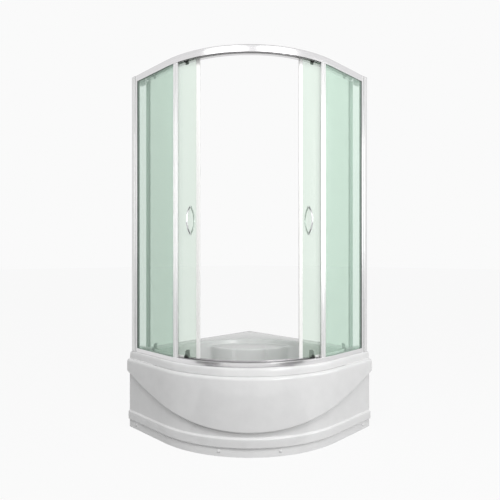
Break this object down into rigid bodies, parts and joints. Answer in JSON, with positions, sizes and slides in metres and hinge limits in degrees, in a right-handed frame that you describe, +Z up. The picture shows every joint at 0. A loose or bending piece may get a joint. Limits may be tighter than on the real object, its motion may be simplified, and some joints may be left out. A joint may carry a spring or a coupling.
{
  "type": "quadrant shower enclosure",
  "caption": "Corner shower enclosure with a curved front on a deep acrylic tray: bent rails, fixed glass panels and curved sliding glass doors on wheels.",
  "frame": {"origin": "on the floor under the middle of the square footprint", "axes": "+Z up; the room's corner lies towards -X and +Y, so one wall plane is x = -0.481 and the other y = +0.481; the curved front faces +X and -Y"},
  "size_m": [0.962, 0.962, 1.95],
  "materials": {
    "acrylic": "polished white sanitary acrylic",
    "anodised_aluminium": "bright silver anodised",
    "safety_glass": "clear toughened glass with a green tint",
    "soft_pvc": "translucent white seal",
    "dark_rubber": "matt black",
    "chrome_plate": "mirror chrome",
    "black_nylon": "satin black moulding",
    "grey_acetal": "satin white wheel plastic",
    "zinc_steel": "zinc plated",
    "white_polypropylene": "satin white"
  },
  "bodies": {
    "enclosure": {"shower_tray": "acrylic", "front_apron": "acrylic", "apron_brackets": "zinc_steel", "apron_screws": "zinc_steel", "apron_screw_caps": "acrylic", "top_rail": "anodised_aluminium", "bottom_rail": "anodised_aluminium", "fixed_glass_left": "safety_glass", "fixed_glass_right": "safety_glass", "panel_edge_profile_left": "anodised_aluminium", "panel_edge_profile_right": "anodised_aluminium", "panel_brushes": "dark_rubber", "panel_stile_left": "anodised_aluminium", "panel_stile_right": "anodised_aluminium", "stile_gaskets": "dark_rubber", "wall_channel_left": "anodised_aluminium", "wall_channel_right": "anodised_aluminium", "rail_corner_blocks": "white_polypropylene", "rail_screws": "zinc_steel", "door_stops": "dark_rubber", "tray_support_frame": "zinc_steel", "leg_nuts": "zinc_steel", "levelling_feet": "zinc_steel", "waste_flange": "chrome_plate", "waste_cover": "chrome_plate", "waste_gasket": "dark_rubber", "trap_body": "white_polypropylene"},
    "door_left": {"door_glass_left": "safety_glass", "magnetic_seal_left": "soft_pvc", "trailing_seal_left": "soft_pvc", "drip_strip_left": "soft_pvc", "handle_outer_left": "chrome_plate", "handle_inner_left": "chrome_plate", "top_hangers_left": "black_nylon", "bottom_clamps_left": "black_nylon"},
    "door_right": {"door_glass_right": "safety_glass", "magnetic_seal_right": "soft_pvc", "trailing_seal_right": "soft_pvc", "drip_strip_right": "soft_pvc", "handle_outer_right": "chrome_plate", "handle_inner_right": "chrome_plate", "top_hangers_right": "black_nylon", "bottom_clamps_right": "black_nylon"},
    "leading_release_slide_left": {"leading_release_slide_left": "black_nylon"},
    "leading_top_wheel_left": {"leading_top_wheel_left": "grey_acetal"},
    "leading_bottom_wheel_left": {"leading_bottom_wheel_left": "grey_acetal"},
    "trailing_release_slide_left": {"trailing_release_slide_left": "black_nylon"},
    "trailing_top_wheel_left": {"trailing_top_wheel_left": "grey_acetal"},
    "trailing_bottom_wheel_left": {"trailing_bottom_wheel_left": "grey_acetal"},
    "leading_release_slide_right": {"leading_release_slide_right": "black_nylon"},
    "leading_top_wheel_right": {"leading_top_wheel_right": "grey_acetal"},
    "leading_bottom_wheel_right": {"leading_bottom_wheel_right": "grey_acetal"},
    "trailing_release_slide_right": {"trailing_release_slide_right": "black_nylon"},
    "trailing_top_wheel_right": {"trailing_top_wheel_right": "grey_acetal"},
    "trailing_bottom_wheel_right": {"trailing_bottom_wheel_right": "grey_acetal"}
  },
  "joints": [
    {"name": "door_left_run", "type": "hinge", "parent": "enclosure", "child": "door_left", "pos_m": [-0.21708, 0.33061, 1], "axis": [0, 0, 1], "range_deg": [0, 19.1]},
    {"name": "leading_release_left", "type": "slide", "parent": "door_left", "child": "leading_release_slide_left", "axis": [0, 0, 1], "range_m": [0, 0.008], "stiffness_N_per_m": 400, "springref_m": -0.002},
    {"name": "leading_top_wheel_spin_left", "type": "hinge", "parent": "door_left", "child": "leading_top_wheel_left", "pos_m": [-0.04055, -0.38708, 1.9358], "axis": [0.2785, -0.9604, 0], "range_deg": [-1500, 1500]},
    {"name": "leading_bottom_wheel_spin_left", "type": "hinge", "parent": "leading_release_slide_left", "child": "leading_bottom_wheel_left", "pos_m": [-0.04055, -0.38708, 0.444], "axis": [0.2785, -0.9604, 0], "range_deg": [-1500, 1500]},
    {"name": "trailing_release_left", "type": "slide", "parent": "door_left", "child": "trailing_release_slide_left", "axis": [0, 0, 1], "range_m": [0, 0.008], "stiffness_N_per_m": 400, "springref_m": -0.002},
    {"name": "trailing_top_wheel_spin_left", "type": "hinge", "parent": "door_left", "child": "trailing_top_wheel_left", "pos_m": [-0.3005, -0.3983, 1.9358], "axis": [-0.1947, -0.9809, 0], "range_deg": [-1500, 1500]},
    {"name": "trailing_bottom_wheel_spin_left", "type": "hinge", "parent": "trailing_release_slide_left", "child": "trailing_bottom_wheel_left", "pos_m": [-0.3005, -0.3983, 0.444], "axis": [-0.1947, -0.9809, 0], "range_deg": [-1500, 1500]},
    {"name": "door_right_run", "type": "hinge", "parent": "enclosure", "child": "door_right", "pos_m": [-0.33061, 0.21708, 1], "axis": [0, 0, -1], "range_deg": [0, 19.1]},
    {"name": "leading_release_right", "type": "slide", "parent": "door_right", "child": "leading_release_slide_right", "axis": [0, 0, 1], "range_m": [0, 0.008], "stiffness_N_per_m": 400, "springref_m": -0.002},
    {"name": "leading_top_wheel_spin_right", "type": "hinge", "parent": "door_right", "child": "leading_top_wheel_right", "pos_m": [0.38708, 0.04055, 1.9358], "axis": [0.9604, -0.2785, 0], "range_deg": [-1500, 1500]},
    {"name": "leading_bottom_wheel_spin_right", "type": "hinge", "parent": "leading_release_slide_right", "child": "leading_bottom_wheel_right", "pos_m": [0.38708, 0.04055, 0.444], "axis": [0.9604, -0.2785, 0], "range_deg": [-1500, 1500]},
    {"name": "trailing_release_right", "type": "slide", "parent": "door_right", "child": "trailing_release_slide_right", "axis": [0, 0, 1], "range_m": [0, 0.008], "stiffness_N_per_m": 400, "springref_m": -0.002},
    {"name": "trailing_top_wheel_spin_right", "type": "hinge", "parent": "door_right", "child": "trailing_top_wheel_right", "pos_m": [0.3983, 0.3005, 1.9358], "axis": [0.9809, 0.1947, 0], "range_deg": [-1500, 1500]},
    {"name": "trailing_bottom_wheel_spin_right", "type": "hinge", "parent": "trailing_release_slide_right", "child": "trailing_bottom_wheel_right", "pos_m": [0.3983, 0.3005, 0.444], "axis": [0.9809, 0.1947, 0], "range_deg": [-1500, 1500]}
  ],
  "couplings": [
    {"joint": "leading_top_wheel_spin_left", "follows": "door_left_run", "ratio": -77.798},
    {"joint": "leading_bottom_wheel_spin_left", "follows": "door_left_run", "ratio": -77.798},
    {"joint": "trailing_top_wheel_spin_left", "follows": "door_left_run", "ratio": -77.228},
    {"joint": "trailing_bottom_wheel_spin_left", "follows": "door_left_run", "ratio": -77.228},
    {"joint": "leading_top_wheel_spin_right", "follows": "door_right_run", "ratio": 77.798},
    {"joint": "leading_bottom_wheel_spin_right", "follows": "door_right_run", "ratio": 77.798},
    {"joint": "trailing_top_wheel_spin_right", "follows": "door_right_run", "ratio": 77.228},
    {"joint": "trailing_bottom_wheel_spin_right", "follows": "door_right_run", "ratio": 77.228}
  ]
}
